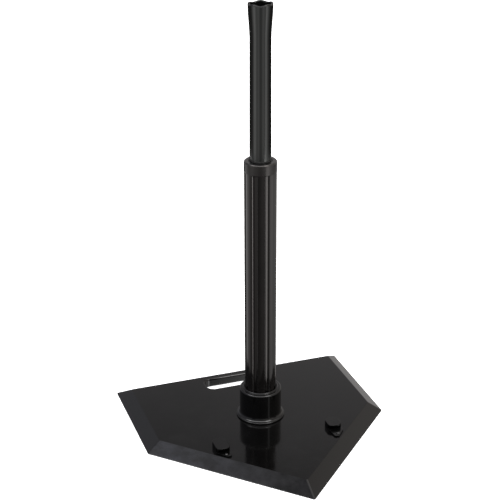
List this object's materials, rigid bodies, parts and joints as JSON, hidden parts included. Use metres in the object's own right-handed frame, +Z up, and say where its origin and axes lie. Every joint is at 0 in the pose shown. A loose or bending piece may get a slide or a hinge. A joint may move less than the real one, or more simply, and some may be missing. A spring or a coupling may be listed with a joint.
{
  "type": "batting tee",
  "caption": "Rubber batting tee: home-plate base with handle slot and socket, fluted lower tube and a flexible height-adjustable upper tube with a scalloped ball cup.",
  "frame": {"origin": "on the ground, on the axis of the post, in the middle of the socket floor's underside", "axes": "+Z up along the post, +X along the plate's back edge, +Y from the post towards the carrying handle, so the plate's apex points to -Y"},
  "size_m": [0.4318, 0.43, 0.7437],
  "materials": {
    "plate_rubber": "satin, slightly oily sheen",
    "collar_plastic": "gloss",
    "lock_ring_steel": "zinc plated",
    "floor_plastic": "matt",
    "hook_plastic": "semi-gloss",
    "rivet_steel": "plain steel",
    "plug_plastic": "matt",
    "stem_rubber": "satin",
    "bush_plastic": "matt",
    "grip_rubber": "matt",
    "tube_rubber": "satin",
    "coil_steel": "drawn wire",
    "coil_plug_plastic": "matt"
  },
  "bodies": {
    "base": {"base_plate": "plate_rubber", "socket_collar": "collar_plastic", "socket_lock_ring": "lock_ring_steel", "socket_floor": "floor_plastic", "stem_hook_left": "hook_plastic", "stem_hook_right": "hook_plastic", "hook_rivet_left": "rivet_steel", "hook_rivet_right": "rivet_steel"},
    "stem_foot": {"stem_plug": "plug_plastic"},
    "stem": {"lower_tube": "stem_rubber", "mouth_bush": "bush_plastic"},
    "slider": {"grip_ring": "grip_rubber"},
    "top": {"upper_tube": "tube_rubber", "flex_coil": "coil_steel", "coil_plug": "coil_plug_plastic"}
  },
  "joints": [
    {"name": "stem_lift", "type": "slide", "parent": "base", "child": "stem_foot", "axis": [0, 0, 1], "range_m": [0, 0.08]},
    {"name": "stem_turn", "type": "hinge", "parent": "stem_foot", "child": "stem", "pos_m": [0, 0, 0.0105], "axis": [0, 0, 1], "continuous": true},
    {"name": "height_slide", "type": "slide", "parent": "stem", "child": "slider", "axis": [0, 0, 1], "range_m": [-0.21, 0.15]},
    {"name": "top_swivel", "type": "hinge", "parent": "slider", "child": "top", "pos_m": [0, 0, 0.2763], "axis": [0, 0, 1], "continuous": true}
  ]
}
